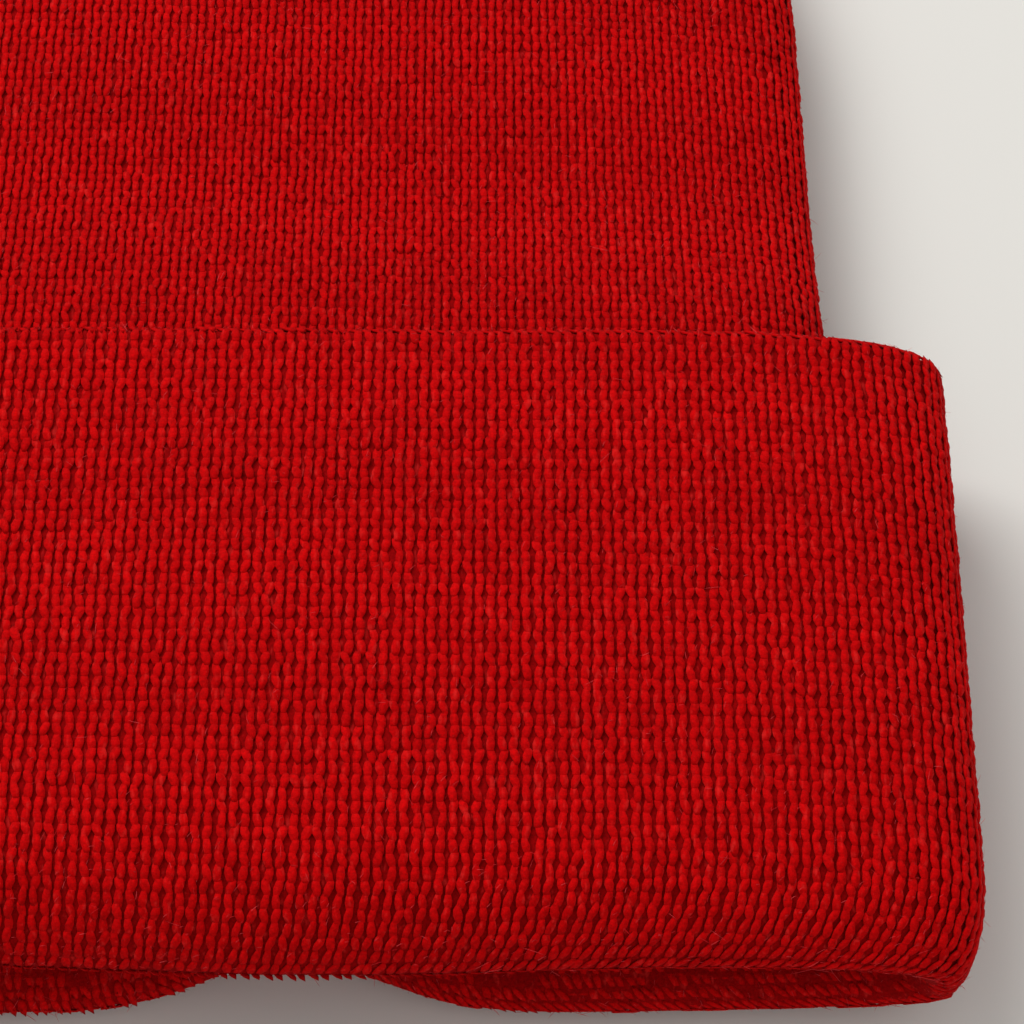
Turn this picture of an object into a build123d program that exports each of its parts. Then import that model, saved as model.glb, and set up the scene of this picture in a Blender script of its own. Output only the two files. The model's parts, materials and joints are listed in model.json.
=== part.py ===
from build123d import *
import math
import os

# Pom pom beanie, lying flat on its back with the brim towards -Y and the pom pom towards +Y.
# The hat is one knitted tube of double length, pushed into itself so that every wall is two
# plies, with its lower end turned up outside as a cuff of two more plies. Four darts close the
# crown, and a yarn pom pom is tied through the tip.
# Lengths along the hat are measured from the brim edge. Millimetres, Z up, table at Z = 0.

# ---- driving dimensions ----
CUFF_WIDTH = 215.0         # flat width across the turned-up cuff
CUFF_HEIGHT = 72.0         # brim edge to the cuff's top fold
CROWN_WIDTH = 190.0        # flat width of the body where it leaves the cuff
HAT_LENGTH = 205.0         # brim edge to the crown's tip
DOME_LENGTH = 82.0         # the part of the length over which the crown closes
HEAD_SPACE = 12.0          # clear height inside, between front and back
PLY = 1.7                  # thickness of one knitted ply
PLY_GAP = 0.3              # air between two plies that lie together
CROWN_LIFT = 0.4           # the crown's underside above the table
TIP_WIDTH = 28.0           # flat width of the closed tip
TIP_THICKNESS = 10.0       # thickness of the closed tip
TIP_HEIGHT = 20.0          # height of the tip's centre above the table, held up by the pom pom
SETTLE_LENGTH = 26.0       # length over which the body drops from cuff level to the table

POMPOM_RADIUS = 36.0
POMPOM_REACH = 34.0        # pivot at the tip to the middle of the pom pom
SEAT_ANGLE = 59.0          # half angle, at the pivot, of the cone that the yarn keeps inside
SEAT_CLEAR = 9.5           # the yarn's underside stays this far from the pivot
CORD_RADIUS = 1.2          # the twisted tails of the binding cord
CORD_CLEAR = 0.3           # air between the cord and what it runs through or turns against
PIVOT_STANDOFF = 1.4       # the pivot in front of the tip's end
SOCKET_RADIUS = 1.5        # where the turning part of the cord starts, from the pivot
TAIL_SPLIT = 4.5           # where the cord's lower tail ends, from the pivot
TIE_RADIUS = 5.0           # centre line of the binding round the yarn's core
TIE_CORD_RADIUS = 1.2
TIE_KNOT_RADIUS = 2.2
ANCHOR_KNOT_RADIUS = 2.0   # the knot inside the crown
ANCHOR_KNOT_SETBACK = 8.0  # knot centre behind the tip's end

SEAM_RADIUS = 0.8          # overlocked dart seam inside the lining
SEAM_CLEAR = 0.3
SEAM_STARTS = (0.30, 0.55, 0.74, 0.86)  # the seam's corners, as shares of the dome's length
SEAM_SHARE = 0.5           # a dart lies this share of the half width from the middle
CLOSURE_RADIUS = 3.4       # purse-string stitches round the tip's eyelet
CLOSURE_THREAD = 0.5
CLOSURE_CLEAR = 0.1

LABEL_WIDTH = 18.0
LABEL_LENGTH = 30.0
LABEL_THICKNESS = 0.5
LABEL_SETBACK = 16.0       # from the brim edge to the blank care label, middle of the back
LABEL_CLEAR = 0.2
LABEL_STITCH_WIDTH = 1.4
LABEL_STITCH_THICKNESS = 0.5

# ---- derived sizes ----
WALL = 4 * PLY + 3 * PLY_GAP               # lining, shell, cuff backing and cuff face together
BODY_WALL = 2 * PLY + PLY_GAP              # lining and shell together
FOLD_RADIUS = WALL / 2                     # outside radius of the turned brim
CAVITY_WIDTH = CUFF_WIDTH - 2 * WALL
CUFF_LEVEL = WALL + HEAD_SPACE / 2         # height of the middle of the cuffed part
BODY_THICKNESS = HEAD_SPACE + 2 * BODY_WALL
BODY_LEVEL = CROWN_LIFT + BODY_THICKNESS / 2
DOME_START = HAT_LENGTH - DOME_LENGTH
DOME_SHARES = (0, 0.25, 0.45, 0.62, 0.76, 0.87, 0.94, 0.98, 1)

POMPOM_RISE = math.asin((POMPOM_RADIUS - TIP_HEIGHT) / POMPOM_REACH)
POMPOM_END = (HAT_LENGTH + PIVOT_STANDOFF + POMPOM_REACH * math.cos(POMPOM_RISE)
              + POMPOM_RADIUS)
BRIM_Y = -POMPOM_END / 2                   # puts the origin under the middle of the whole hat
PIVOT = Vector(0, BRIM_Y + HAT_LENGTH + PIVOT_STANDOFF, TIP_HEIGHT)
POMPOM_AXIS = Vector(0, math.cos(POMPOM_RISE), math.sin(POMPOM_RISE))


# ---- cross-sections ----
def section_plane(along, level):
    """The plane square to the hat's length, seen from the brim, `along` from the brim edge."""
    return Plane(origin=(0, BRIM_Y + along, level), x_dir=(1, 0, 0), z_dir=(0, -1, 0))


def section(along, half_width, thickness, level):
    """A flattened tube's outline: a slot with round ends, as a face."""
    return section_plane(along, level) * SlotOverall(2 * half_width, thickness)


def cuff_slot(along, outset):
    """The cuffed part's outline, `outset` outside the head space."""
    return section(along, CAVITY_WIDTH / 2 + outset, HEAD_SPACE + 2 * outset, CUFF_LEVEL)


def body_section(along, inset):
    """The body's outline before the dome, `inset` inside its outer surface."""
    brim_half = CAVITY_WIDTH / 2 + BODY_WALL
    share = min(1, (along - FOLD_RADIUS) / (CUFF_HEIGHT - FOLD_RADIUS))
    half = brim_half + (CROWN_WIDTH / 2 - brim_half) * share
    drop = min(1, max(0, (along - CUFF_HEIGHT) / SETTLE_LENGTH))
    level = CUFF_LEVEL + (BODY_LEVEL - CUFF_LEVEL) * drop
    return section(along, half - inset, BODY_THICKNESS - 2 * inset, level)


def dome_sizes(share, inset):
    """Place, half width, thickness and level of the dome at a share of its length."""
    along = DOME_START + share * (DOME_LENGTH - inset)
    tip_half = TIP_WIDTH / 2 - inset
    half = tip_half + (CROWN_WIDTH / 2 - inset - tip_half) * math.sqrt(1 - share**2)
    thin = (BODY_THICKNESS - TIP_THICKNESS) * math.sqrt(1 - share**4)
    level = BODY_LEVEL + (TIP_HEIGHT - BODY_LEVEL) * share**2
    return along, half, TIP_THICKNESS + thin - 2 * inset, level


def body_solid(inset):
    """The whole body filled, from the brim's turn to the tip, `inset` inside its surface."""
    straight = [FOLD_RADIUS, CUFF_HEIGHT, CUFF_HEIGHT + SETTLE_LENGTH]
    sections = [body_section(along, inset) for along in straight]
    sections += [section(*dome_sizes(share, inset)) for share in DOME_SHARES]
    return loft(Sketch() + sections, ruled=True)


def eyelet():
    """The opening at the tip that the cord passes through."""
    hole = Cylinder(CORD_RADIUS + CORD_CLEAR, 3 * ANCHOR_KNOT_SETBACK)
    return Plane(origin=PIVOT, z_dir=(0, 1, 0)) * hole


# ---- the knitted tube ----
def crown_shell():
    return body_solid(0) - body_solid(PLY) - eyelet()


def beyond_settle():
    """All the space on the crown's side of where the body has dropped to the table."""
    start = BRIM_Y + CUFF_HEIGHT + SETTLE_LENGTH
    size = 2 * (CUFF_WIDTH + HAT_LENGTH)
    return Pos(0, start + size / 2, 0) * Box(size, size, size)


def crown_body():
    """The shell from the brim's turn up to where it lies on the table."""
    return crown_shell() - beyond_settle()


def crown_dome():
    """The shell from there on, closing to the tip."""
    return crown_shell() & beyond_settle()


def crown_lining():
    return body_solid(PLY + PLY_GAP) - body_solid(BODY_WALL) - eyelet()


def cuff_tube(inner, outer):
    """A straight ply of the cuff between two outsets."""
    ring = cuff_slot(FOLD_RADIUS, outer) - cuff_slot(FOLD_RADIUS, inner)
    length = CUFF_HEIGHT - FOLD_RADIUS - (PLY + PLY_GAP / 2)
    return extrude(ring, amount=length, dir=(0, 1, 0))


def cuff_face():
    return cuff_tube(WALL - PLY, WALL)


def cuff_backing():
    return cuff_tube(BODY_WALL + PLY_GAP, BODY_WALL + PLY_GAP + PLY)


def turned_edge(along, outset, radius, inner_radius, towards):
    """A ply turned back on itself: half a ring, carried round the cuff's outline.
    `towards` is -1 where the fold points at the brim and 1 where it points at the crown."""
    path = cuff_slot(along, outset).face().outer_wire()
    start = path @ 0
    tangent = path % 0
    across = Vector(0, 1, 0).cross(tangent)
    plane = Plane(origin=start, x_dir=across, z_dir=tangent)
    ring = Circle(radius)
    if inner_radius:
        ring -= Circle(inner_radius)
    side = 1 if plane.y_dir.Y * towards > 0 else -1
    half = Pos(0, side * radius, 0) * Rectangle(4 * radius, 2 * radius)
    return sweep(plane * (ring & half), path=path)


def brim_fold_outer():
    """The lining turned round the brim into the cuff's face."""
    return turned_edge(FOLD_RADIUS, WALL / 2, FOLD_RADIUS, FOLD_RADIUS - PLY, -1)


def brim_fold_inner():
    """The shell turned round the brim into the cuff's backing."""
    return turned_edge(FOLD_RADIUS, WALL / 2, PLY + PLY_GAP / 2, PLY_GAP / 2, -1)


def cuff_top_fold():
    """The double-length tube's own fold, along the top of the cuff."""
    radius = PLY + PLY_GAP / 2
    return turned_edge(CUFF_HEIGHT - radius, WALL - radius, radius, PLY_GAP / 2, 1)


# ---- seams, closure and label ----
def dart_seam(side, face):
    """One dart's overlocked seam against the lining; side -1 is left, face -1 is the underside."""
    points = []
    for share in SEAM_STARTS:
        along, half, thickness, level = dome_sizes(share, BODY_WALL)
        rise = thickness / 2 - SEAM_CLEAR - SEAM_RADIUS
        points.append(Vector(side * SEAM_SHARE * half, BRIM_Y + along, level + face * rise))
    path = FilletPolyline(*points, radius=4 * SEAM_RADIUS)
    return sweep(Plane(origin=path @ 0, z_dir=path % 0) * Circle(SEAM_RADIUS), path=path)


def crown_closure():
    """The purse-string thread round the eyelet, on the tip's end."""
    centre = (0, BRIM_Y + HAT_LENGTH + CLOSURE_CLEAR + CLOSURE_THREAD, TIP_HEIGHT)
    return Plane(origin=centre, z_dir=(0, 1, 0)) * Torus(CLOSURE_RADIUS, CLOSURE_THREAD)


def label_floor():
    """Height of the lining's upper side in the cuffed part, where the label lies."""
    return CUFF_LEVEL - HEAD_SPACE / 2


def care_label():
    centre = Vector(0, BRIM_Y + LABEL_SETBACK + LABEL_LENGTH / 2,
                    label_floor() + LABEL_CLEAR + LABEL_THICKNESS / 2)
    return Pos(centre) * Box(LABEL_WIDTH, LABEL_LENGTH, LABEL_THICKNESS)


def label_stitch():
    top = label_floor() + LABEL_CLEAR + LABEL_THICKNESS
    along = LABEL_SETBACK + LABEL_LENGTH - 2 * LABEL_STITCH_WIDTH
    centre = Vector(0, BRIM_Y + along, top + LABEL_STITCH_THICKNESS / 2)
    return Pos(centre) * Box(LABEL_WIDTH, LABEL_STITCH_WIDTH, LABEL_STITCH_THICKNESS)


# ---- the cord that holds the pom pom ----
def rod(plane, start, end, radius):
    """A round rod along a plane's normal, between two distances from its origin."""
    return plane * Pos(0, 0, (start + end) / 2) * Cylinder(radius, end - start)


def anchor_cord():
    """The cord inside the crown, from its knot out to the pivot, where its end is round."""
    length = ANCHOR_KNOT_SETBACK + PIVOT_STANDOFF
    stretch = rod(Plane(origin=PIVOT, z_dir=(0, 1, 0)), -length, 0, CORD_RADIUS)
    return stretch + Pos(PIVOT) * Sphere(CORD_RADIUS) - anchor_knot()


def anchor_knot():
    centre = PIVOT - Vector(0, ANCHOR_KNOT_SETBACK + PIVOT_STANDOFF, 0)
    return Pos(centre) * Sphere(ANCHOR_KNOT_RADIUS)


def pompom_plane():
    return Plane(origin=PIVOT, x_dir=(1, 0, 0), z_dir=POMPOM_AXIS)


def around_pivot(radius):
    return Pos(PIVOT) * Sphere(radius)


def lower_tail():
    """The cord's first turning stretch; both ends are round about the pivot."""
    stretch = rod(pompom_plane(), 0, 2 * TAIL_SPLIT, CORD_RADIUS)
    return (stretch & around_pivot(TAIL_SPLIT)) - around_pivot(SOCKET_RADIUS)


def tie_knot_place():
    return POMPOM_REACH - TIE_RADIUS - TIE_CORD_RADIUS - TIE_KNOT_RADIUS


def upper_tail():
    end = tie_knot_place() - TIE_KNOT_RADIUS
    stretch = rod(pompom_plane(), 0, end, CORD_RADIUS)
    return stretch - around_pivot(TAIL_SPLIT + CORD_CLEAR)


def tie_knot():
    return pompom_plane() * Pos(0, 0, tie_knot_place()) * Sphere(TIE_KNOT_RADIUS)


def tie_ring(thread):
    """The binding's ring round the core of the yarn, its plane holding the cord's line."""
    return pompom_plane() * Pos(0, 0, POMPOM_REACH) * Rot(0, 90, 0) * Torus(TIE_RADIUS, thread)


def pompom_tie():
    return tie_ring(TIE_CORD_RADIUS)


def pompom_yarn():
    """The ball of cut yarn: a sphere that keeps inside a cone from the pivot, so that it can
    lean without pressing into the crown, with room inside for the cord, knot and binding."""
    plane = pompom_plane()
    height = POMPOM_REACH + POMPOM_RADIUS
    ball = plane * Pos(0, 0, POMPOM_REACH) * Sphere(POMPOM_RADIUS)
    cone = Cone(0, height * math.tan(math.radians(SEAT_ANGLE)), height)
    ball = (ball & (plane * Pos(0, 0, height / 2) * cone)) - around_pivot(SEAT_CLEAR)
    ball -= rod(plane, 0, tie_knot_place(), CORD_RADIUS + CORD_CLEAR)
    ball -= plane * Pos(0, 0, tie_knot_place()) * Sphere(TIE_KNOT_RADIUS + CORD_CLEAR)
    return ball - tie_ring(TIE_CORD_RADIUS + CORD_CLEAR)


PIECES = {
    "crown_body": crown_body,
    "crown_dome": crown_dome,
    "crown_lining": crown_lining,
    "cuff_face": cuff_face,
    "cuff_backing": cuff_backing,
    "cuff_top_fold": cuff_top_fold,
    "brim_fold_outer": brim_fold_outer,
    "brim_fold_inner": brim_fold_inner,
    "crown_closure": crown_closure,
    "care_label": care_label,
    "label_stitch": label_stitch,
    "anchor_cord": anchor_cord,
    "anchor_knot": anchor_knot,
    "lower_tail": lower_tail,
    "upper_tail": upper_tail,
    "tie_knot": tie_knot,
    "pompom_tie": pompom_tie,
    "pompom_yarn": pompom_yarn,
}

os.makedirs("parts", exist_ok=True)
for name, make in PIECES.items():
    export_step(make(), f"parts/{name}.step")
for side, side_name in ((-1, "left"), (1, "right")):
    for face, face_name in ((1, "front"), (-1, "back")):
        export_step(dart_seam(side, face), f"parts/dart_seam_{face_name}_{side_name}.step")
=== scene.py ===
import json
import math

import bmesh
import bpy
import numpy as np
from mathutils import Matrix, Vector


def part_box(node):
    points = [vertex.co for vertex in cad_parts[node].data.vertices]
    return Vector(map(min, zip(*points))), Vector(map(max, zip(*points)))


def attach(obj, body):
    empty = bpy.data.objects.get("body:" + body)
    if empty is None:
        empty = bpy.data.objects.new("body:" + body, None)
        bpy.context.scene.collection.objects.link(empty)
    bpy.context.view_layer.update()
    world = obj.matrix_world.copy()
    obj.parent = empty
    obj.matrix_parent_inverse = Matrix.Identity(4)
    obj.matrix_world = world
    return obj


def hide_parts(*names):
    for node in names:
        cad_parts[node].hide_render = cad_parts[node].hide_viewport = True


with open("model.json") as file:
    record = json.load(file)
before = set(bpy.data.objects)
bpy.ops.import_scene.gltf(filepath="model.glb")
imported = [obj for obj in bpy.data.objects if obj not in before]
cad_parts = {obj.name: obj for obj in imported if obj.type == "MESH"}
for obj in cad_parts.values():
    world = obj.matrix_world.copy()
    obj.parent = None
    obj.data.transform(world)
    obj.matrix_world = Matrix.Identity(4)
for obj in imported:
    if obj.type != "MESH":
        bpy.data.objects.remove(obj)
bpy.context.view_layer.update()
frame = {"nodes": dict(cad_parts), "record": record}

# ---- The knitted tube's shape ----
# One fine-gauge tube of double length, closed at the tip by four darts and turned up at the
# brim. It lies on its back, a little open, so that its walls belly outwards. It is made as
# rows of cross-sections, each with its place along the hat, half width, half thickness, height.

MM = 0.001
BRIM_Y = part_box("brim_fold_outer")[0].y
CUFF_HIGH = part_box("cuff_top_fold")[1]
CUFF_TOP = CUFF_HIGH.y
CUFF_HALF = CUFF_HIGH.x
CUFF_THICK = CUFF_HIGH.z / 2
CUFF_POWER = 0.5           # squareness of the cuff's cross-section
CUFF_FLATTER = 0.4 * MM    # thinner than the cuff's own box, which leaves room for stitches
CUFF_BELLY = 0.3 * MM      # and thicker by this much half way along
WALL = 7.7 * MM            # four plies and the air between them
PLY = 1.7 * MM
LIP_LENGTH = 11 * MM       # the rolled brim, from its edge to where the walls run straight
TUCK = 4 * MM              # how far the cuff's face reaches inside the brim

HAT_LENGTH = 205 * MM
DOME_LENGTH = 82 * MM      # over which the crown closes
DOME_Y = BRIM_Y + HAT_LENGTH - DOME_LENGTH
BODY_HALF, BODY_THICK, BODY_LEVEL = 95 * MM, 9.7 * MM, 10.1 * MM
BODY_POWER = 0.62
BODY_FLARE = 0.8 * MM      # wider at the cuff than at the dome, on each side
BODY_HIDDEN = 7 * MM       # starts this far below the cuff's top
DROP_LENGTH = 28 * MM      # over which the body drops from the cuff's level to the table
TIP_HALF, TIP_THICK, TIP_LEVEL = 13 * MM, 5.2 * MM, 20 * MM
AROUND = 1440              # points round each cross-section

# How the brim lies, in millimetres: the under lip behind the upper one, the places where it
# arches off the table (middle, spread, share), and the roll of the upper lip.
RECESS_REACH, RECESS_POWER, LIP_BACK, LIP_WANDER = 46, 1.3, 4.6, 0.7
ARCHES = ((40, 12, 1.0), (-52, 15, 0.7))
ARCH_BACK, ARCH_LIFT = 6.5, 6.0
ROLL_REACH, ROLL_BACK, ROLL_DOWN = 20, 2.6, 4.5


def eased(share):
    """A share from 0 to 1 that starts and ends gently."""
    return share * share * (3 - 2 * share)


def ring(along_y, half, thick, level, power=BODY_POWER):
    """A pillow-shaped cross-section, its points evenly spaced round it from the middle of the top."""
    turn = np.linspace(0, 2 * math.pi, 4 * AROUND + 1)
    x = half * np.sign(np.sin(turn)) * np.abs(np.sin(turn)) ** power
    z = thick * np.sign(np.cos(turn)) * np.abs(np.cos(turn)) ** power
    length = np.concatenate([[0], np.cumsum(np.hypot(np.diff(x), np.diff(z)))])
    even = np.linspace(0, length[-1], AROUND, endpoint=False)
    x, z = np.interp(even, length, x), np.interp(even, length, z)
    return np.stack([x, np.full(AROUND, along_y), level + z], axis=1)


def perimeter(rings):
    """The length round each ring."""
    step = np.roll(rings, -1, axis=1) - rings
    return np.linalg.norm(step, axis=2).sum(axis=1)


def settle(rings, amount):
    """Low folds of cloth that lies loosely, on its upper side: broad ones, slanting ones and
    short ones, which are 0.9, 0.55 and 0.35 mm high where `amount` is 1."""
    x, y = rings[..., 0] / MM, rings[..., 1] / MM
    broad = 0.9 * np.sin(x / 23 + 0.6) * np.sin(y / 31 + 1.1)
    slanting = 0.55 * np.sin(x / 11.5 + y / 27 + 2.0)
    short = 0.35 * np.sin(y / 9.5 - x / 41)
    upper = np.clip((rings[..., 2] - 9 * MM) / (8 * MM), 0, 1)
    lifted = rings.copy()
    lifted[..., 2] += amount * MM * (broad + slanting + short) * upper
    return lifted


def brim_recess(rings):
    """The brim's under lip lies back from the upper one, which arches up off the table. Both
    wander a little from side to side and settle into the straight cuff further up."""
    x, y, z = (rings[..., axis] / MM for axis in range(3))
    near = np.clip(1 - (y - BRIM_Y / MM) / RECESS_REACH, 0, 1) ** RECESS_POWER
    low = np.clip((22 - z) / 20, 0, 1)
    arch = sum(share * np.exp(-((x - middle) / spread) ** 2) for middle, spread, share in ARCHES)
    wander = LIP_WANDER * (1 - low) * np.sin(x / 13 + 1.2)
    shaped = rings.copy()
    shaped[..., 1] += MM * near * (low * (LIP_BACK + ARCH_BACK * arch) + wander)
    shaped[..., 2] += MM * near * low * (1 - low) * ARCH_LIFT * arch
    # The upper lip rolls down towards the table.
    roll = np.clip(1 - (y - BRIM_Y / MM) / ROLL_REACH, 0, 1) ** 2
    shaped[..., 1] += MM * roll * (1 - low) * ROLL_BACK
    shaped[..., 2] -= MM * roll * (1 - low) * ROLL_DOWN
    return shaped


def cuff_rings(outset):
    """The cuff, from just inside the brim, round its lip, up the outside and over its top fold."""
    start, end = BRIM_Y + LIP_LENGTH, CUFF_TOP - PLY
    rows = [(start + TUCK * share, 0.0) for share in np.linspace(1, 0, 8, endpoint=False)]
    rows += [(start - LIP_LENGTH * math.sin(turn), WALL / 2 * (1 - math.cos(turn)))
             for turn in np.linspace(0, math.pi, 40, endpoint=False)]
    rows += [(start + (end - start) * share, WALL) for share in np.linspace(0, 1, 40, endpoint=False)]
    rows += [(end + PLY * math.sin(turn), WALL - PLY * (1 - math.cos(turn)))
             for turn in np.linspace(0, math.pi, 16)]
    made = []
    for y, out in rows:
        inset = WALL - out + outset
        belly = CUFF_BELLY * math.sin(math.pi * (y - BRIM_Y) / (CUFF_TOP - BRIM_Y))
        made.append(ring(y, CUFF_HALF - inset, CUFF_THICK - inset - CUFF_FLATTER + belly, CUFF_THICK,
                         power=CUFF_POWER))
    return settle(brim_recess(np.array(made)), 0.55)


def body_level(y):
    """Height of the tube's middle, which drops from the cuff's level to the table."""
    drop = eased(min(1, max(0, (y - CUFF_TOP) / DROP_LENGTH)))
    return CUFF_THICK + (BODY_LEVEL - CUFF_THICK) * drop


def dome_rings(turns, length, halves, thicks):
    """The closing crown, from the body's half width and half thickness to the tip's."""
    made = []
    for turn in turns:
        share = math.sin(turn)
        half = halves[1] + (halves[0] - halves[1]) * math.cos(turn)
        thick = thicks[1] + (thicks[0] - thicks[1]) * math.sqrt(1 - share ** 4)
        level = BODY_LEVEL + (TIP_LEVEL - BODY_LEVEL) * share ** 2
        made.append(ring(DOME_Y + share * length, half, thick, level))
    return made


def body_rings(inset):
    """The body and dome, from inside the cuff to the tip."""
    made = []
    start = CUFF_TOP - BODY_HIDDEN
    for share in np.linspace(0, 1, 60, endpoint=False):
        y = start + (DOME_Y - start) * share
        half = BODY_HALF + BODY_FLARE * (1 - share)
        made.append(ring(y, half - inset, BODY_THICK - inset, body_level(y)))
    made += dome_rings(np.linspace(0, math.pi / 2, 70), DOME_LENGTH - inset,
                       (BODY_HALF - inset, TIP_HALF - inset), (BODY_THICK - inset, TIP_THICK - inset))
    return settle(np.array(made), 0.7)


def along_rings(rings):
    """Distance along the cloth of each ring, measured at the top and the bottom."""
    middles = (rings[:, 0], rings[:, AROUND // 2])
    steps = sum(np.linalg.norm(np.diff(line, axis=0), axis=1) for line in middles) / 2
    return np.concatenate([[0], np.cumsum(steps)])


def sample(rings, row, around):
    """Points of the cloth at a place counted in rings and a share of the way round."""
    row = np.clip(row, 0, len(rings) - 1.0001)
    column = (around % 1.0) * AROUND
    r0, c0 = row.astype(int), column.astype(int)
    fr, fc = (row - r0)[:, None], (column - c0)[:, None]
    c0, c1 = c0 % AROUND, (c0 + 1) % AROUND
    low = rings[r0, c0] * (1 - fc) + rings[r0, c1] * fc
    high = rings[r0 + 1, c0] * (1 - fc) + rings[r0 + 1, c1] * fc
    return low * (1 - fr) + high * fr


# ---- Stitches ----
# Plain jersey: every stitch shows two yarn legs that meet below and lean apart above. One
# stitch is modelled, and laid along the courses and wales of the tube, each a little uneven.

WALES = 196                # round the tube, at about 11 an inch
COURSE = 1.24 * MM
UNEVEN = 0.05              # spread of a stitch's height, width, relief and lean, as shares


def linear(hex_colour):
    """An sRGB hex colour as linear RGBA."""
    channels = [int(hex_colour[i:i + 2], 16) / 255 for i in (0, 2, 4)]
    return [c / 12.92 if c <= 0.04045 else ((c + 0.055) / 1.055) ** 2.4 for c in channels] + [1.0]


def add_node(tree, kind, links=None, **settings):
    """A node with its settings; links maps an input's name or number to a value or a socket."""
    node = tree.nodes.new(kind)
    for name, value in settings.items():
        setattr(node, name, value)
    for key, value in (links or {}).items():
        if isinstance(value, bpy.types.NodeSocket):
            tree.links.new(value, node.inputs[key])
        else:
            node.inputs[key].default_value = value
    return node


def new_material(name):
    """An empty material and its node tree."""
    material = bpy.data.materials.new(name)
    material.use_nodes = True
    material.node_tree.nodes.clear()
    return material, material.node_tree


def finish_material(tree, shader):
    """Makes the shader the surface of the tree's material."""
    add_node(tree, "ShaderNodeOutputMaterial", {"Surface": shader.outputs[0]})


def yarn_material(name, shade, light, painted_shade, fibre_mm=0.09):
    """Brushed acrylic knitting yarn, dyed in the fibre: dull and soft, a bundle of fine fibres.
    The attribute "tone" varies it from thread to thread, and "depth" is 0 where a thread dives
    under its neighbours and 1 where it crowns. Fibres 0.02 mm thick are too fine to show, so
    their streaks are drawn fibre_mm wide."""
    material, tree = new_material(name)
    tone = add_node(tree, "ShaderNodeAttribute", attribute_name="tone")
    depth = add_node(tree, "ShaderNodeAttribute", attribute_name="depth")
    place = add_node(tree, "ShaderNodeTexCoord")
    fibre = add_node(tree, "ShaderNodeTexNoise",
                     {"Vector": place.outputs["Object"], "Scale": 1 / (fibre_mm * 4 * MM),
                      "Detail": 3.0, "Roughness": 0.65})
    lit = add_node(tree, "ShaderNodeMixRGB",
                   {0: tone.outputs["Fac"], 1: linear(shade), 2: linear(light)})
    streaked = add_node(tree, "ShaderNodeMapRange",
                        {0: fibre.outputs[0], 1: 0.3, 2: 0.7, 3: 0.72, 4: 1.25})
    fibred = add_node(tree, "ShaderNodeMixRGB", {0: 1.0, 1: lit.outputs[0], 2: streaked.outputs[0]},
                      blend_type="MULTIPLY")
    # Painted highlights: bundles of fibre that catch the light, thin and drawn out along the wales.
    drawn = add_node(tree, "ShaderNodeMapping", {0: place.outputs["Object"], 3: (1, 0.3, 1)})
    bundle = add_node(tree, "ShaderNodeTexNoise",
                      {"Vector": drawn.outputs[0], "Scale": 1 / (0.55 * MM), "Detail": 2.0})
    glint = add_node(tree, "ShaderNodeMapRange", {0: bundle.outputs[0], 1: 0.58, 2: 0.74, 3: 0, 4: 0.36})
    shone = add_node(tree, "ShaderNodeMixRGB",
                     {0: glint.outputs[0], 1: fibred.outputs[0], 2: linear("e02c28")})
    # Painted shade: where the depth attribute is low, a thread dives under its neighbours and its colour
    # is mixed towards the darker last colour.
    dive_shaded = add_node(tree, "ShaderNodeMixRGB",
                    {0: depth.outputs["Fac"], 1: linear(painted_shade), 2: shone.outputs[0]})
    bump = add_node(tree, "ShaderNodeBump",
                    {"Height": fibre.outputs[0], "Strength": 0.7, "Distance": 0.12 * MM})
    shader = add_node(tree, "ShaderNodeBsdfPrincipled",
                      {"Base Color": dive_shaded.outputs[0], "Roughness": 0.92, "IOR": 1.45,
                       "Specular IOR Level": 0.06, "Sheen Weight": 0.05, "Sheen Roughness": 0.45,
                       "Sheen Tint": linear("ff4a46"), "Normal": bump.outputs[0]})
    finish_material(tree, shader)
    return material


# Deep red, with painted highlights on the fibres on top of a leg and painted shade where it dives under.
KNIT = yarn_material("acrylic_knit_yarn", "a80002", "c60406", "900002")


def template_of(bm, deepest, highest):
    """Template points, triangles and depths of a small closed shape, which is freed. Depth runs
    from 0 at the height `deepest` to 1 at `highest`."""
    bmesh.ops.recalc_face_normals(bm, faces=bm.faces)
    bmesh.ops.triangulate(bm, faces=bm.faces)
    bm.verts.index_update()
    points = np.array([v.co for v in bm.verts])
    faces = np.array([[v.index for v in f.verts] for f in bm.faces])
    bm.free()
    return points, faces, np.clip((points[:, 2] - deepest) / (highest - deepest), 0, 1)


def add_strand(bm, stations, sides, start, end):
    """A closed strand through rings, each an (x, y, z) centre and an (x, z) radius, with its two
    ends drawn out to points."""
    loops = []
    for (x, y, z), (across, outward) in stations:
        turns = [2 * math.pi * (step + 0.5) / sides for step in range(sides)]
        loops.append([bm.verts.new((x + across * math.cos(t), y, z + outward * math.sin(t)))
                      for t in turns])
    edges = [[bm.edges.new((loop[i - 1], loop[i])) for i in range(sides)] for loop in loops]
    for lower, upper in zip(edges, edges[1:]):
        bmesh.ops.bridge_loops(bm, edges=lower + upper)
    for border, point in ((edges[0], start), (edges[-1], end)):
        cap = bmesh.ops.edgeloop_fill(bm, edges=border)["faces"]
        bmesh.ops.poke(bm, faces=cap)["verts"][0].co = point


def make_stitch(foot, belly, head):
    """One stitch, in units of a wale across and a course along: two legs, each with its distance
    from the middle and its half width at the foot, the belly and the head."""
    bm = bmesh.new()
    for side in (-1, 1):
        stations = [((foot[0] * side, -0.42, 0.03), (foot[1], 0.21)),
                    ((belly[0] * side, 0.05, 0.10), (belly[1], 0.25)),
                    ((head[0] * side, 0.50, 0.04), (head[1], 0.23))]
        add_strand(bm, stations, 4, (foot[0] * side, -0.95, -0.20), (head[0] * side, 1.05, -0.24))
    return template_of(bm, -0.28, 0.06)


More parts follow.
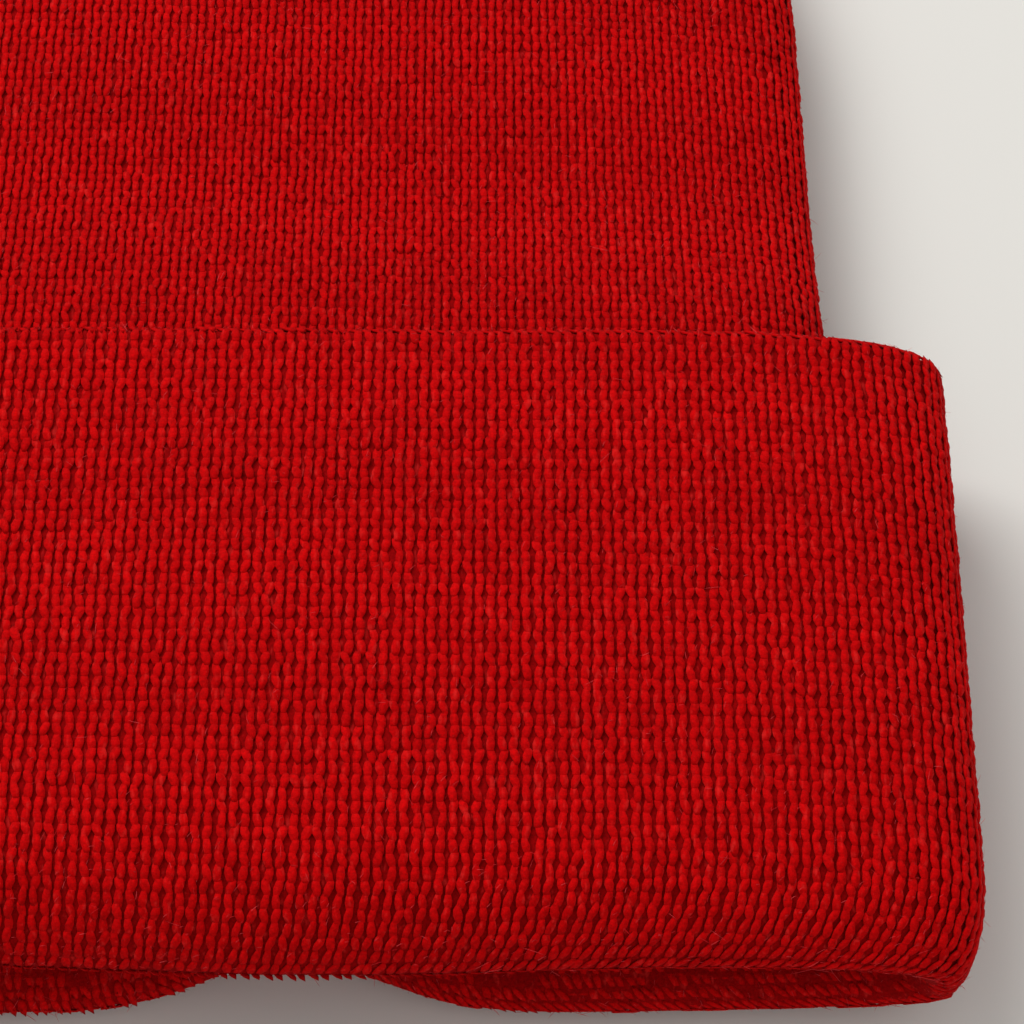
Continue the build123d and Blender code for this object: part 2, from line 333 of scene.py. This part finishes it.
def copies_object(name, template, origin, across, along, outward, tone, material):
    """An object of one mesh: the template laid at each origin in its own three directions. Its
    points may differ from copy to copy."""
    points, faces, depth = template
    count, size = len(origin), points.shape[-2]
    points = np.broadcast_to(points, (count, size, 3))
    co = (origin[:, None] + points[..., 0:1] * across[:, None] + points[..., 1:2] * along[:, None]
          + points[..., 2:3] * outward[:, None])
    # What would sink into the table is pressed flat against it.
    table = 0.1 * MM
    co[..., 2] = np.where(co[..., 2] < table, table + 0.02 * (co[..., 2] - table), co[..., 2])
    corner = (faces[None] + (np.arange(count) * size)[:, None, None]).reshape(-1)
    mesh = bpy.data.meshes.new(name)
    mesh.vertices.add(count * size)
    mesh.vertices.foreach_set("co", co.reshape(-1).astype(np.float32))
    mesh.loops.add(len(corner))
    mesh.loops.foreach_set("vertex_index", corner.astype(np.int32))
    mesh.polygons.add(count * len(faces))
    mesh.polygons.foreach_set("loop_start", np.arange(0, len(corner), 3, dtype=np.int32))
    mesh.update(calc_edges=True)
    for label, values in (("tone", np.repeat(tone, size)), ("depth", np.tile(depth, count))):
        layer = mesh.attributes.new(label, "FLOAT", "POINT")
        layer.data.foreach_set("value", values.astype(np.float32))
    mesh.polygons.foreach_set("use_smooth", np.ones(count * len(faces), bool))
    mesh.materials.append(material)
    mesh.validate()
    obj = bpy.data.objects.new(name, mesh)
    bpy.context.scene.collection.objects.link(obj)
    return obj


TIGHT_STITCH = make_stitch((0.19, 0.19), (0.25, 0.275), (0.30, 0.22))
LOOSE_STITCH = make_stitch((0.27, 0.22), (0.24, 0.265), (0.21, 0.19))


def lay_stitches(name, rings, grid, seed):
    """Stitches at places counted in rings and shares of the way round."""
    row, course, around, width = grid
    rng = np.random.default_rng(seed)
    count = len(row)
    row_step, around_step = 0.35, 0.0006
    here = sample(rings, row, around)
    right = sample(rings, row, around + around_step) - sample(rings, row, around - around_step)
    up = sample(rings, row + row_step, around) - sample(rings, row - row_step, around)
    right /= np.linalg.norm(right, axis=1)[:, None]
    up /= np.linalg.norm(up, axis=1)[:, None]
    out = np.cross(right, up)
    out /= np.linalg.norm(out, axis=1)[:, None]
    # Every second course is knitted looser. Its legs draw together and leave holes between the
    # wales, while those of a tight course spread and leave them inside the stitch.
    loose = (course % 2 == 0)
    template = (np.where(loose[:, None, None], LOOSE_STITCH[0], TIGHT_STITCH[0]), *TIGHT_STITCH[1:])
    lean = rng.normal(0, UNEVEN, count) - 0.04
    tall = COURSE * (1 + rng.normal(0, UNEVEN, count)) * np.where(loose, 1.04, 0.97)
    wide = width * (1 + rng.normal(0, UNEVEN, count))
    proud = MM * (0.68 + rng.normal(0, UNEVEN, count)) * np.where(loose, 0.9, 1.0)
    lifted = out * (rng.normal(0, UNEVEN, count) * MM)[:, None]
    shifted = right * (width * rng.normal(0, 0.03, count))[:, None]
    along = up * tall[:, None] + right * (tall * lean)[:, None]
    banding = 0.12 * np.sin(course / 3.1 + around * 9)
    tone = np.clip(0.4 + rng.normal(0, 0.15, count) + banding, 0, 1)
    return copies_object(name, template, here + lifted + shifted, right * wide[:, None], along,
                         out * proud[:, None], tone, KNIT)


def course_rows(rings):
    """Places of the courses, in rings, evenly spaced along the cloth."""
    length = along_rings(rings)
    places = (np.arange(int(length[-1] / COURSE)) + 0.5) * COURSE
    return np.interp(places, length, np.arange(len(rings)))


def panel_grid(rings, rows, panel, wale):
    """The stitches of one panel, a quarter of the way round: as many wales as its width holds at
    each row, counted from its middle, so that the outer ones end at the darts."""
    around_length = np.interp(rows, np.arange(len(rings)), perimeter(rings))
    out_rows, out_course, out_around, out_width = [], [], [], []
    for course, (row, whole) in enumerate(zip(rows, around_length)):
        count = min(WALES // 4, int(round(whole / 4 / wale)))
        if count < 1:
            continue
        # Rows of odd and even count keep their wales in line.
        odd_one = 0.5 if count % 2 != (WALES // 4) % 2 else 0
        offsets = np.arange(count) + 0.5 - count / 2 + odd_one
        out_rows.append(np.full(count, row))
        out_course.append(np.full(count, course))
        out_around.append(panel / 4 + offsets / count / 4)
        out_width.append(np.full(count, whole / 4 / count))
    return [np.concatenate(part) for part in (out_rows, out_course, out_around, out_width)]


# ---- Cuff and crown ----
# The visible face of the turned-up cuff with its rolled brim and top fold, and the body and
# dome above it. The same cloth, knitted in the same direction; four panels each. Under the
# stitches lies a smooth ply, coloured dark as painted shade, which closes the holes between them.

CUFF_STITCH_INSET, BODY_STITCH_INSET = 0.55 * MM, 0.75 * MM
GROUND_BELOW = 0.17 * MM   # the ply of painted shade, under the middle of the stitches
GROUND_PLY = 0.5 * MM
CUFF_WALE, BODY_WALE = 2.0 * MM, 1.95 * MM
CUFF = cuff_rings(CUFF_STITCH_INSET)
BODY = body_rings(BODY_STITCH_INSET)
PANELS = ("top", "right", "under", "left")
# Its colours are darker than the knit's: painted shade in the holes between the stitches.
PAINTED_SHADE_GROUND = yarn_material("acrylic_knit_ground_painted_shade", "840002", "8c0002", "700001")


def knit_panels(part, rings, suffixes, wale, seed):
    """The stitches of a part's four panels, each cut along the hat into one piece per suffix."""
    made = []
    for number, panel in enumerate(PANELS):
        grid = panel_grid(rings, course_rows(rings), number, wale)
        share = grid[1] / (grid[1].max() + 1)
        stretch = (share * len(suffixes)).astype(int)
        for half, suffix in enumerate(suffixes):
            in_half = [column[stretch == half] for column in grid]
            made.append(lay_stitches(f"{part}_{panel}{suffix}", rings, in_half,
                                     seed + 2 * number + half))
    return made


cuff_pieces = knit_panels("cuff", CUFF, ("",), CUFF_WALE, 11)
crown_pieces = knit_panels("crown", BODY, ("_low", "_high"), BODY_WALE, 31)


def cloth_tube(name, rings, thickness, material):
    """A smooth ply through the rings, with a wall and two open ends. It takes every twelfth
    point round, which is as fine as a smooth ply needs."""
    chosen = rings[:, ::12]
    right = np.roll(chosen, -1, axis=1) - np.roll(chosen, 1, axis=1)
    up = np.gradient(chosen, axis=0)
    out = np.cross(right, up)
    out /= np.maximum(np.linalg.norm(out, axis=2), 1e-9)[..., None]
    inner = chosen - out * thickness
    rows, columns = chosen.shape[:2]
    bm = bmesh.new()
    skins = []
    for skin in (chosen, inner):
        skins.append([[bm.verts.new(point) for point in line] for line in skin])
    for index, skin in enumerate(skins):
        for r in range(rows - 1):
            for c in range(columns):
                corners = [skin[r][c], skin[r][(c + 1) % columns], skin[r + 1][(c + 1) % columns],
                           skin[r + 1][c]]
                bm.faces.new(corners if index == 0 else corners[::-1])
    for r in (0, rows - 1):
        for c in range(columns):
            corners = [skins[0][r][c], skins[1][r][c], skins[1][r][(c + 1) % columns],
                       skins[0][r][(c + 1) % columns]]
            bm.faces.new(corners if r == 0 else corners[::-1])
    bmesh.ops.recalc_face_normals(bm, faces=bm.faces)
    mesh = bpy.data.meshes.new(name)
    bm.to_mesh(mesh)
    bm.free()
    for label, value in (("tone", 0.5), ("depth", 1.0)):
        layer = mesh.attributes.new(label, "FLOAT", "POINT")
        layer.data.foreach_set("value", np.full(len(mesh.vertices), value, np.float32))
    mesh.polygons.foreach_set("use_smooth", np.ones(len(mesh.polygons), bool))
    mesh.materials.append(material)
    obj = bpy.data.objects.new(name, mesh)
    bpy.context.scene.collection.objects.link(obj)
    return obj


def place_in_hat(*pieces):
    """The pieces lie in the hat's body."""
    for piece in pieces:
        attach(piece, "hat")


cuff_shaded_ply = cloth_tube("cuff_shaded_ply", cuff_rings(CUFF_STITCH_INSET + GROUND_BELOW), GROUND_PLY, PAINTED_SHADE_GROUND)
crown_shaded_ply = cloth_tube("crown_shaded_ply", body_rings(BODY_STITCH_INSET + GROUND_BELOW), GROUND_PLY,
                          PAINTED_SHADE_GROUND)
place_in_hat(*cuff_pieces, *crown_pieces, cuff_shaded_ply, crown_shaded_ply)
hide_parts("cuff_face", "cuff_top_fold", "brim_fold_outer")
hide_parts("cuff_backing", "brim_fold_inner")
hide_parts("crown_body")
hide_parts("crown_dome")

# ---- Lining ----
# The inner half of the tube, seen through the brim. Its plain side is inwards, a brushed
# surface with fine ribs that run along the hat, so a smooth ply with a ribbed finish is enough.


LINING_START = 9 * MM      # from the brim's edge
LINING_HALF = CUFF_HALF - WALL + 0.3 * MM
LINING_INSET = 3.4 * MM    # inside the body's outer ply
LINING_THICK = 6.3 * MM
LINING_TIP_HALF, LINING_TIP_THICK, LINING_TIP_SHORT = 9 * MM, 2.2 * MM, 6 * MM
RIB = 2.3 * MM             # one wale of the lining


def lining_rings():
    """The lining, from inside the brim to the knotted tip."""
    made = []
    start, body = BRIM_Y + LINING_START, BODY_HALF - LINING_INSET
    for share in np.linspace(0, 1, 30, endpoint=False):
        y = start + share * (DOME_Y - start)
        half = LINING_HALF + (body - LINING_HALF) * min(1, (y - BRIM_Y) / (CUFF_TOP - BRIM_Y))
        made.append(ring(y, half, LINING_THICK, body_level(y)))
    # It stops just short of the tip, where the eyelet is.
    made += dome_rings(np.linspace(0, math.pi / 2 - 0.05, 40), DOME_LENGTH - LINING_TIP_SHORT,
                       (body, LINING_TIP_HALF), (LINING_THICK, LINING_TIP_THICK))
    return brim_recess(np.array(made))


def lining_material():
    """The inner face of the knit: brushed yarn in ribs one wale apart, shaded in the grooves."""
    material, tree = new_material("acrylic_knit_lining")
    place = add_node(tree, "ShaderNodeTexCoord")
    parts = add_node(tree, "ShaderNodeSeparateXYZ", {0: place.outputs["Object"]})
    ribs = add_node(tree, "ShaderNodeMath", {0: parts.outputs[0], 1: 2 * math.pi / RIB},
                    operation="MULTIPLY")
    wave = add_node(tree, "ShaderNodeMath", {0: ribs.outputs[0]}, operation="SINE")
    fibre = add_node(tree, "ShaderNodeTexNoise",
                     {"Vector": place.outputs["Object"], "Scale": 1 / (0.5 * MM), "Detail": 3.0})
    height = add_node(tree, "ShaderNodeMath", {0: wave.outputs[0], 1: fibre.outputs[0]},
                      operation="ADD")
    shade = add_node(tree, "ShaderNodeMapRange",
                     {0: height.outputs[0], 1: -0.6, 2: 1.5, 3: 0.0, 4: 1.0})
    colour = add_node(tree, "ShaderNodeMixRGB",
                      {0: shade.outputs[0], 1: linear("5e0104"), 2: linear("a00808")})
    bump = add_node(tree, "ShaderNodeBump", {"Height": height.outputs[0], "Strength": 0.8,
                                             "Distance": 0.5 * MM})
    shader = add_node(tree, "ShaderNodeBsdfPrincipled",
                      {"Base Color": colour.outputs[0], "Roughness": 0.95, "Specular IOR Level": 0.1,
                       "Sheen Weight": 0.2, "Sheen Tint": linear("ff6a66"), "Normal": bump.outputs[0]})
    finish_material(tree, shader)
    return material


lining = cloth_tube("lining", lining_rings(), GROUND_PLY, lining_material())
place_in_hat(lining)
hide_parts("crown_lining")

# ---- Loose fibres ----
# Acrylic yarn sheds fine ends that stand off the knit and catch the light at its outline. Each
# is a thin curved hair; they are thickest along the turned edges, where the cloth is rubbed.


def make_fibre():
    """A curved hair one unit long and 0.02 thick."""
    bm = bmesh.new()
    stations = [((0.28 * along * along, along, 0), (0.02 * thick, 0.02 * thick))
                for along, thick in ((0.2, 1.0), (0.7, 0.75))]
    add_strand(bm, stations, 3, (0, 0, 0), (0.28, 1, 0))
    return template_of(bm, -1.0, -0.5)


HAIR = 1.35 * MM           # a hair's half thickness is 0.02 of this
HAIR_LIFT = 0.22 * MM      # its root, above the middle of the stitches
FIBRE = make_fibre()
# A single fibre lets light through, so it is painted paler and pinker than the yarn: a painted
# highlight.
FUZZ = yarn_material("acrylic_loose_fibre", "b8141a", "e2474a", "8a0508")


def lay_fibres(name, rings, count, seed, longest, rise, lie):
    """Hairs up to `longest` mm, that stand off by up to `rise` of their length. With `lie` near 1
    they follow the wales."""
    rng = np.random.default_rng(seed)
    row = rng.uniform(1, len(rings) - 2, count)
    around = rng.uniform(0, 1, count)
    here = sample(rings, row, around)
    right = sample(rings, row, around + 0.001) - sample(rings, row, around - 0.001)
    up = sample(rings, row + 0.4, around) - sample(rings, row - 0.4, around)
    right /= np.linalg.norm(right, axis=1)[:, None]
    up /= np.linalg.norm(up, axis=1)[:, None]
    out = np.cross(right, up)
    turn = rng.normal(math.pi / 2, (1 - lie) * 3, count)
    lean = right * np.cos(turn)[:, None] + up * np.sin(turn)[:, None]
    length = rng.gamma(3.0, longest / 9, count).clip(0.3, longest) * MM
    stand = rng.uniform(0.02, rise, count)
    grow = lean * np.sqrt(1 - stand ** 2)[:, None] + out * stand[:, None]
    side = np.cross(grow, out)
    side /= np.linalg.norm(side, axis=1)[:, None]
    thick = HAIR * rng.uniform(0.6, 1.2, count)[:, None]
    return copies_object(name, FIBRE, here + out * HAIR_LIFT, side * thick, grow * length[:, None],
                         np.cross(side, grow) * thick, rng.uniform(0, 1, count), FUZZ)


# The nap lies along the wales. The fuzz is fewer, longer hairs that point anywhere.
place_in_hat(lay_fibres("nap_cuff", CUFF, 7500, 71, longest=1.5, rise=0.25, lie=0.85),
             lay_fibres("nap_crown", BODY, 8500, 72, longest=1.4, rise=0.25, lie=0.85),
             lay_fibres("fuzz_cuff", CUFF, 2600, 73, longest=2.6, rise=0.9, lie=0.0),
             lay_fibres("fuzz_crown", BODY, 3600, 74, longest=2.6, rise=0.9, lie=0.0))

# ---- Pom pom ----
# A ball of cut yarn tied round its middle: strands run out from the binding to a clipped
# surface, their ends opened into soft tufts. It rests on the table and against the crown.

REACH, RADIUS = 34 * MM, 36 * MM
JOINT = frame["record"]["behaviour"]["joints"][0]
PIVOT = np.array(JOINT["pos_m"])
RISE = math.asin((RADIUS - PIVOT[2]) / REACH)
POM_AXIS = np.array([0, math.cos(RISE), math.sin(RISE)])
POM_CENTRE = PIVOT + POM_AXIS * REACH
STRANDS = 2500
STRAND_GIRTH = 1.15 * MM
CORE = 5.5 * MM            # strands start at the binding, this far from the middle
SEAT_SLOPE = math.tan(math.radians(58))    # of the cone, from the pivot, that the yarn keeps inside
SEAT_CLEAR = 8.6 * MM      # the yarn stays this far from the pivot
BASE_RADIUS = 24 * MM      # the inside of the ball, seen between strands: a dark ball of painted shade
# Cut ends open into loose fibre. A tuft is light at its tip and darkens towards its root, which is
# painted shade inside the ball.
TUFT = yarn_material("acrylic_tuft_yarn", "a40206", "d4181a", "520003", fibre_mm=0.12)


def make_strand():
    """A yarn strand one unit long that swells into a cut tuft at its end."""
    bm = bmesh.new()
    stations = [((24 * bend, along, 0), (radius, radius))
                for along, radius, bend in ((0.02, 0.55, 0), (0.5, 0.85, 0.02), (0.8, 1.15, 0.06),
                                            (0.95, 1.3, 0.09))]
    add_strand(bm, stations, 6, (0, 0, 0), (2.3, 1.0, 0))
    points, faces, _ = template_of(bm, 0, 1)
    # The root half is painted darker: painted shade inside the ball.
    return points, faces, np.clip((points[:, 1] - 0.5) / 0.45, 0, 1)


def pompom():
    """All the strands, evenly spread over the ball and a little uneven in length."""
    rng = np.random.default_rng(5)
    index = np.arange(STRANDS) + 0.5
    polar = np.arccos(1 - 2 * index / STRANDS)
    spin = math.pi * (1 + 5 ** 0.5) * index
    aim = np.stack([np.cos(spin) * np.sin(polar), np.sin(spin) * np.sin(polar), np.cos(polar)], axis=1)
    aim += rng.normal(0, 0.05, aim.shape)
    aim /= np.linalg.norm(aim, axis=1)[:, None]
    length = RADIUS * rng.normal(0.955, 0.022, STRANDS).clip(0.88, 0.99)
    # Strands that point at the crown are cut short, so that the ball leans there and doesn't
    # press in. Each keeps the greatest share of its length that fits.
    shortest = 0.15
    scale = np.zeros(STRANDS)
    for share in np.linspace(1, shortest, 60):
        tip = aim * (length * share)[:, None] + POM_AXIS * REACH
        forward = tip @ POM_AXIS
        aside = np.linalg.norm(tip - forward[:, None] * POM_AXIS, axis=1)
        fits = (aside < SEAT_SLOPE * forward) & (np.linalg.norm(tip, axis=1) > SEAT_CLEAR)
        scale = np.where((scale == 0) & fits, share, scale)
    length = length * np.where(scale == 0, shortest, scale)
    side = np.cross(aim, rng.normal(0, 1, aim.shape))
    side /= np.linalg.norm(side, axis=1)[:, None]
    third = np.cross(side, aim)
    girth = STRAND_GIRTH * rng.uniform(0.85, 1.2, STRANDS)[:, None]
    reach = np.maximum(length - CORE, 1 * MM)[:, None]
    tone = np.clip(0.45 + rng.normal(0, 0.22, STRANDS), 0, 1)
    return copies_object("pompom_tufts", make_strand(), POM_CENTRE + aim * CORE, side * girth,
                         aim * reach, -third * girth, tone, TUFT)


tufts = pompom()
# A dark ball inside the strands, in the ground ply's colours: painted shade seen between them.
base_mesh = bpy.data.meshes.new("pompom_shaded_core")
bm = bmesh.new()
bmesh.ops.create_icosphere(bm, subdivisions=4, radius=BASE_RADIUS)
bmesh.ops.translate(bm, verts=bm.verts, vec=POM_CENTRE)
bm.to_mesh(base_mesh)
bm.free()
base_mesh.materials.append(PAINTED_SHADE_GROUND)
pom_shaded_core = bpy.data.objects.new("pompom_shaded_core", base_mesh)
bpy.context.scene.collection.objects.link(pom_shaded_core)
for piece in (tufts, pom_shaded_core):
    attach(piece, "pompom")
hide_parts("pompom_yarn")

# ---- Cord, seams and label ----
# The twisted cord that ties the pom pom on, the overlocked dart seams, the purse-string round
# the tip and a bare woven label: small pieces that keep their CAD shape and get a finish.


WAVE_OF_ONE = 0.314        # the wave texture's scale that puts its ridges one unit apart


def cord_material(name, shade, light, pitch_mm):
    """Plied thread: fine slanting ridges one ply apart."""
    material, tree = new_material(name)
    place = add_node(tree, "ShaderNodeTexCoord")
    wave = add_node(tree, "ShaderNodeTexWave",
                    {"Vector": place.outputs["Object"], "Scale": WAVE_OF_ONE / (pitch_mm * MM),
                     "Distortion": 1.5, "Detail": 2.0}, bands_direction="DIAGONAL")
    colour = add_node(tree, "ShaderNodeMixRGB",
                      {0: wave.outputs[1], 1: linear(shade), 2: linear(light)})
    bump = add_node(tree, "ShaderNodeBump", {"Height": wave.outputs[1], "Strength": 0.6,
                                             "Distance": 0.2 * MM})
    shader = add_node(tree, "ShaderNodeBsdfPrincipled",
                      {"Base Color": colour.outputs[0], "Roughness": 0.8, "Specular IOR Level": 0.2,
                       "Sheen Weight": 0.2, "Normal": bump.outputs[0]})
    finish_material(tree, shader)
    return material


CORD = cord_material("acrylic_plied_cord", "7d0205", "bb0c10", 0.9)
THREAD = cord_material("polyester_overlock_thread", "8a0407", "c41a1c", 0.45)
TAPE = cord_material("polyester_satin_tape", "dcd9d2", "efece6", 0.3)
for node, obj in frame["nodes"].items():
    if node.startswith("dart_seam") or node in ("crown_closure", "label_stitch"):
        finish = THREAD
    elif node == "care_label":
        finish = TAPE
    else:
        finish = CORD
    obj.data.materials.clear()
    obj.data.materials.append(finish)

# ---- Table, lights and camera ----
# A matt off-white table under a large soft light from the upper left, with a weak fill.

floor_mesh = bpy.data.meshes.new("floor")
bm = bmesh.new()
bmesh.ops.create_grid(bm, x_segments=1, y_segments=1, size=3)
bm.to_mesh(floor_mesh)
bm.free()
floor = bpy.data.objects.new("floor", floor_mesh)
bpy.context.scene.collection.objects.link(floor)
material, tree = new_material("matt_table")
finish_material(tree, add_node(tree, "ShaderNodeBsdfPrincipled",
                               {"Base Color": linear("d8d6d0"), "Roughness": 0.7}))
floor_mesh.materials.append(material)


def area_light(name, place, aim, size, power):
    """A square soft light of a width in metres and a power in watts, turned to what it lights."""
    light = bpy.data.lights.new(name, "AREA")
    light.size, light.energy = size, power
    obj = bpy.data.objects.new(name, light)
    obj.location = place
    obj.rotation_euler = (Vector(aim) - Vector(place)).to_track_quat("-Z", "Y").to_euler()
    bpy.context.scene.collection.objects.link(obj)


area_light("key", (-0.35, 0.42, 0.75), (0.03, -0.05, 0.02), 0.6, 7.5)
area_light("fill", (0.6, -0.5, 0.7), (0.05, -0.08, 0.02), 0.8, 1.4)
world = bpy.data.worlds.new("studio")
bpy.context.scene.world = world
world.use_nodes = True
world.node_tree.nodes["Background"].inputs[0].default_value = linear("ffffff")
world.node_tree.nodes["Background"].inputs[1].default_value = 0.52

camera = bpy.data.objects.new("camera", bpy.data.cameras.new("camera"))
bpy.context.scene.collection.objects.link(camera)
AIM = Vector((0.0615, -0.0875, 0.026))
ELEVATION, DISTANCE = math.radians(57), 0.33
camera.location = AIM + DISTANCE * Vector((0, -math.cos(ELEVATION), math.sin(ELEVATION)))
camera.rotation_euler = (AIM - camera.location).to_track_quat("-Z", "Y").to_euler()
camera.data.lens = 116
camera.data.clip_start = 0.01
bpy.context.scene.camera = camera
bpy.context.scene.view_settings.view_transform = "Standard"
